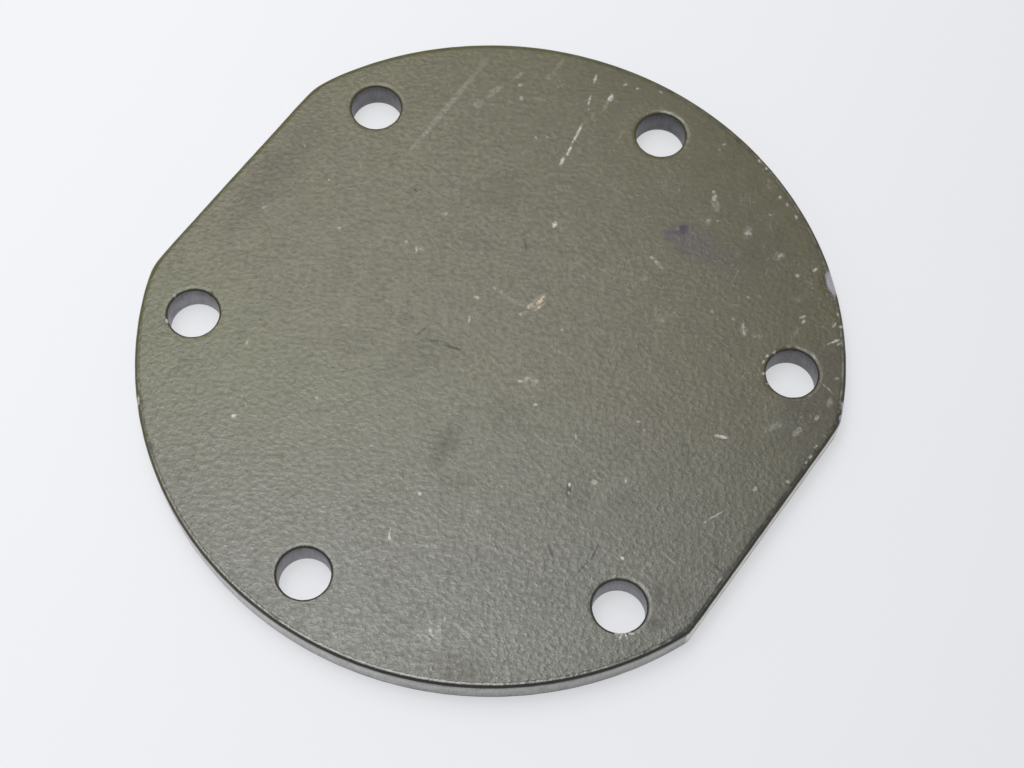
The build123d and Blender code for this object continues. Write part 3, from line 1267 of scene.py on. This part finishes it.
    def ground_colour(self) -> Socket:
        """Drift of the paint's tone over the face, painted shade towards +X, and its fine mottle.

        Returns:
            The colour.
        """
        graph, paint = self.graph, self.paint
        broad = self.noise(26.0, 3.0, 0.55)
        middle = self.noise(4.0, 4.0, 0.65)
        mottle = self.noise(1.5, 4.0, 0.7)
        # Painted shade: the paint turns to the deeper olive towards +X, shifted at random by the
        # broad drift.
        side = self.slope(-0.0085, 0.0, 0.5) + 0.9 * (broad - 0.5)
        colour = graph.blend(side, paint.deep_shaded_olive, paint.olive)
        # Greyer and cooler towards +X and -Y, and greener towards -Y.
        greyer = (self.slope(0.5, -0.75) + 16.0 * (broad - 0.5)).step(0.0, 50.0)
        greener = self.slope(0.0, 1.0).step(5.0, -30.0) * (1.0 - greyer)
        colour = graph.blend(0.85 * greener, colour, paint.green)
        colour = graph.blend(greyer, colour, paint.cool)
        colour = graph.blend(self.masks[Wear.BROWN], colour, paint.warm)
        colour = graph.blend(self.masks[Wear.HAZE], colour, paint.cool)
        tone = 1.0 + 0.44 * (middle - 0.5) + 0.60 * (mottle - 0.5) + 0.50 * (self.skin - 0.5)
        return graph.scaled(colour, tone)

    def rim_colour(self, colour: Socket) -> Socket:
        """Paints shade towards the outer rim and along the +X flat's edge, and a highlight on the
        ridge.

        Args:
            colour: The paint so far.

        Returns:
            The colour.
        """
        graph, paint = self.graph, self.paint
        torn = self.noise(1.4, 3.0, 0.6).step(0.30, 0.62)
        # Painted highlight on the ridge, strongest towards +X and broken up by noise.
        ridge_highlight = self.slope(0.008, -0.002, 0.55) * self.ridge * torn
        # Painted shade along the +X flat's edge, with a ragged inner line.
        painted_shading = (self.across + 3.0 * (torn - 0.5)).step(self.side - 1.5, self.side - 0.1)
        # Painted shade towards the outer rim, growing from x = -40 and full from the middle towards
        # +X.
        rim_shade = self.inset.step(2.6, 1.0) * (1.0 - self.bore) * self.upper
        rim_shade = paint.rim_shade * rim_shade * self.across.step(-40.0, 0.0)
        colour = graph.blend(rim_shade, colour, paint.roll_shade)
        colour = graph.blend(ridge_highlight * (1.0 - painted_shading), colour, paint.ridge_highlight)
        return graph.blend(paint.painted_shading * painted_shading, colour, paint.roll_shade)

    def stained_colour(self, colour: Socket) -> Socket:
        """Lays scuffs, rubs, ink, dark dirt with painted shade in two nicks, and the tan scuff on
        the paint.

        Args:
            colour: The paint so far.

        Returns:
            The colour.
        """
        graph, stains, masks = self.graph, self.stains, self.masks
        patches = self.noise(8.0, 3.0, 0.6).step(0.50, 0.62) + 0.10
        scuffs = (0.8 * self.hairlines() + self.crumbs.step(0.55, 0.67)) * patches
        scuffs = scuffs * self.slope(0.0018, 0.0020, 0.25)
        colour = graph.blend(scuffs, colour, stains.scuff)
        rubbed = stains.rub_share * masks[Wear.RUB] * self.broken
        colour = graph.blend(rubbed, colour, stains.rub)
        colour = graph.blend(masks[Wear.INK] * (0.75 + 0.5 * self.broken), colour, stains.ink)
        colour = graph.blend(stains.soil_and_shade_share * masks[Wear.SOIL_AND_SHADE], colour, stains.soil_and_shade)
        tan = graph.blend(self.crumbs.step(0.44, 0.58), stains.tan_ground, stains.tan_fibre)
        return graph.blend(stains.tan_share * masks[Wear.TAN], colour, tan)

    def hairlines(self) -> Num:
        """Fine scratches: noise drawn out along two directions, of which only the crests show.

        Returns:
            The mask.
        """
        crests = []
        for degrees in (98.0, 131.0):
            drawn = self.graph.drawn_along(self.flat, degrees, 7.0, 0.30, degrees)
            crests.append(self.graph.noise(drawn, 1.0, 1.0, 0.4).step(0.70, 0.78))
        return crests[0].larger(crests[1])

    def paint_roughness(self) -> Num:
        """Roughness of the paint: cloudy, duller in the skin's hollows and on marks.

        Returns:
            The roughness.
        """
        masks = self.masks
        cloud = self.noise(9.0, 3.0) - 0.5
        drawn = self.graph.noise(self.rolling, 1.7, 3.0, 0.7)
        rough = self.paint.roughness + 0.10 * cloud + 0.38 * (0.5 - self.skin)
        rough = rough + 0.32 * (0.5 - drawn) - 0.13 * self.ridge
        rough = rough + 0.22 * masks[Wear.SCRAPE] + 0.30 * masks[Wear.SOIL_AND_SHADE]
        return rough + 0.14 * masks[Wear.BROWN]

    def metal_colour(self) -> Socket:
        """Colour of the wall: drawn streaks, duller and darker in the broken band.

        Overspray darkens the upper part of the bolt holes' walls, and painted shade darkens those
        walls towards +Y.
        Outside, painted light and shade make the wall darker towards +X, near its top and low down
        towards +X, and near its foot, and brighter on the flats, palest on the +X flat.

        Returns:
            The colour.
        """
        graph, steel, across, height = self.graph, self.steel, self.across, self.height
        bore = self.bore
        streaks = graph.noise(graph.drawn_down(self.place, 0.10), 0.30, 3.0, 0.6)
        blotch = graph.noise(self.place, 2.4, 3.0, 0.6)
        band_line = height + 0.9 * (graph.noise(self.place, 1.6, 2.0) - 0.5)
        colour = graph.blend(band_line.step(1.25, 0.85), steel.wall, steel.broken)
        colour = graph.blend(bore, colour, steel.bore)
        spray = bore * height.step(self.top - 3.0, self.top - 0.6, 0.36)
        # Painted light: the walls of the flats are brighter, and the +X flat's is also paler.
        on_flat = across.size().step(self.side - 0.4, self.side - 0.2, 0.48)
        colour = graph.blend(on_flat * across.step(0.0, 1.0), colour, steel.pale)
        # Painted light and shade on the outer wall: darker towards +X, near its top and low down
        # towards +X, and at the flats' foot.
        steep = self.slope(-0.0142, 0.0, 1.14).smaller(1.38)
        outside = self.slope(-0.0058, 0.0, 1.16).larger(0.90).larger(steep) + on_flat
        lower = across.step(-24.0, -4.0, 0.26) * height.step(4.6, 0.4)
        lower = lower + 1.05 * on_flat * height.step(2.8, 0.6)
        upper = across.step(-34.0, 0.0, 0.20) * height.step(4.4, 5.0)
        outside = outside - lower - upper
        # Painted shade: the bolt holes' walls darken towards +Y.
        inside = self.slope(0.0006, -0.0052, 0.755).smaller(0.88)
        # Painted light and shade of the walls, with the overspray in the bolt holes.
        painted_shading = (outside + bore * (inside - outside)) * (1.0 - spray)
        # Painted shade at the foot of the outer wall.
        foot = (1.0 - bore) * height.step(0.45, 0.10, 0.35)
        return graph.scaled(colour, (0.25 + 0.70 * streaks + 0.80 * blotch) * (painted_shading - foot))

    def relief(self) -> Num:
        """Height of the fine relief: skin of the paint, chips, streaks and tears of the walls.

        Returns:
            The height in millimetres.
        """
        graph, steel = self.graph, self.steel
        pattern = self.skin * (1.0 - 0.3 * self.ridge)
        skin = self.paint.skin_height * pattern * self.slope(-0.001, -0.011, 0.97)
        streaks = graph.noise(graph.drawn_down(self.place, 0.08), 0.26, 3.0, 0.6)
        torn = graph.noise(self.place, 0.30, 4.0, 0.7) * self.height.step(1.3, 0.8)
        wall = steel.streak_height * streaks + steel.torn_height * torn
        return skin - steel.chip_depth * self.masks[Wear.CHIP] + self.bare * (wall - skin)


@dataclass(frozen=True)
class PaleTop:
    """Plain pale table top, a shade darker away from the lamp."""

    name: str = "pale_table"
    near: Colour = (0.80, 0.81, 0.84)
    backdrop: Colour = (0.86, 0.87, 0.89)
    backdrop_share: float = 0.62
    fall_off: Point = (-0.00062, -0.00016, 1.0)
    darkest: float = 0.85
    palest: float = 1.06
    roughness: float = 0.55
    specular: float = 0.3

    def build(self) -> bpy.types.Material:
        """Builds the material: to the eye and in reflections, part of it is plain backdrop.

        Returns:
            The material.
        """
        material, graph = new_material(self.name)
        place, flat = graph.places()
        fall = graph.dot(flat, self.fall_off).smaller(self.palest).larger(self.darkest)
        drift = graph.noise(place, 60.0)
        colour = graph.scaled(self.near, (0.985 + 0.03 * drift) * fall)
        backdrop = graph.scaled(self.backdrop, fall)
        names = ("Base Color", "Roughness", "Specular IOR Level")
        inputs = dict(zip(names, (colour, self.roughness, self.specular)))
        table = graph.first("ShaderNodeBsdfPrincipled", None, inputs)
        pale = graph.first("ShaderNodeEmission", None, {"Color": backdrop, "Strength": 1.0})
        ray = graph.node("ShaderNodeLightPath").outputs
        seen = Num(graph, ray["Is Camera Ray"])
        for other in ("Is Glossy Ray", "Is Transmission Ray"):
            seen = seen.larger(Num(graph, ray[other]))
        inputs = {0: self.backdrop_share * seen, 1: table, 2: pale}
        mixed = graph.first("ShaderNodeMixShader", None, inputs)
        graph.node("ShaderNodeOutputMaterial", None, {"Surface": mixed})
        return material


# ---- Studio ----


@dataclass(frozen=True)
class Softbox:
    """A flat round lamp that faces the middle; brightness is what the eye sees of its face."""

    name: str
    place: Point
    size: float
    brightness: float
    colour: Colour = (1.0, 0.99, 0.98)

    def build(self) -> None:
        """Hangs the lamp. Its power is brightness * pi * area, and its area pi * size^2 / 4."""
        lamp = bpy.data.lights.new(self.name, "AREA")
        lamp.shape = "DISK"
        lamp.size = self.size
        lamp.energy = self.brightness * math.pi * (math.pi * self.size**2 / 4)
        lamp.color = self.colour
        holder = bpy.data.objects.new(self.name, lamp)
        holder.location = self.place
        holder.rotation_euler = (-Vector(self.place)).to_track_quat("-Z", "Y").to_euler()
        bpy.context.scene.collection.objects.link(holder)


@dataclass(frozen=True)
class Viewpoint:
    """The camera: place, the point it looks at and which way is up in the picture."""

    place: Point = (0.090955, -0.125832, 0.329634)
    looks_at: Point = (0.007638, -0.004303, 0.006035)
    up: Point = (-0.53914, 0.73332, 0.41421)
    lens: float = 71.70
    sensor: float = 36.0
    nearest: float = 0.01
    farthest: float = 20.0

    def build(self) -> None:
        """Sets the camera up and makes it the scene's."""
        forward = (Vector(self.looks_at) - Vector(self.place)).normalized()
        right = forward.cross(Vector(self.up)).normalized()
        turn = Matrix((right, right.cross(forward), -forward)).transposed()
        data = bpy.data.cameras.new("camera")
        data.lens = self.lens
        data.sensor_width = self.sensor
        data.clip_start = self.nearest
        data.clip_end = self.farthest
        camera = bpy.data.objects.new("camera", data)
        camera.matrix_world = Matrix.Translation(self.place) @ turn.to_4x4()
        bpy.context.scene.collection.objects.link(camera)
        bpy.context.scene.camera = camera


@dataclass(frozen=True)
class Studio:
    """Table top, lamps and surrounding light."""

    floor_reach: float = 3.0
    floor_depth: float = 0.00003
    fill: Colour = (0.475, 0.48, 0.50)
    lamps: tuple[Softbox, ...] = (
        Softbox("wide_softbox", (-0.312, 0.20, 0.90), 0.632, 3.1),
        Softbox("overhead_softbox", (-0.12, -0.06, 0.90), 0.40, 5.8),
    )

    def build(self) -> None:
        """Builds the table top, the lamps and the world."""
        sides = ((-1, -1), (1, -1), (1, 1), (-1, 1))
        reach, depth = self.floor_reach, self.floor_depth
        corners = [(x * reach, y * reach, -depth) for x, y in sides]
        mesh = bpy.data.meshes.new("table_top")
        mesh.from_pydata(corners, [], [(0, 1, 2, 3)])
        mesh.materials.append(PaleTop().build())
        floor = bpy.data.objects.new("table_top", mesh)
        bpy.context.scene.collection.objects.link(floor)
        for lamp in self.lamps:
            lamp.build()
        world = bpy.data.worlds.new("room")
        world.use_nodes = True
        graph = Graph(world.node_tree)
        light = graph.first("ShaderNodeBackground", None, {"Color": self.fill, "Strength": 1.0})
        graph.node("ShaderNodeOutputWorld", None, {"Surface": light})
        bpy.context.scene.world = world
        log.info("studio: %d lamps", len(self.lamps))


def main() -> None:
    """Builds the plate, dresses it and lights it."""
    logging.basicConfig(level=logging.INFO, format="%(name)s: %(message)s")
    scene = bpy.context.scene
    scene.view_settings.view_transform = "Standard"
    sizes = PlateSizes.from_frame(frame, CAD_BOX)
    log.info("sizes: %s", sizes)
    plate = CoverPlate(sizes)
    piece = plate.build()
    plate.dress(piece, PaintedSteel())
    Studio().build()
    Viewpoint().build()
    bpy.context.view_layer.update()


if __name__ == "__main__":
    main()
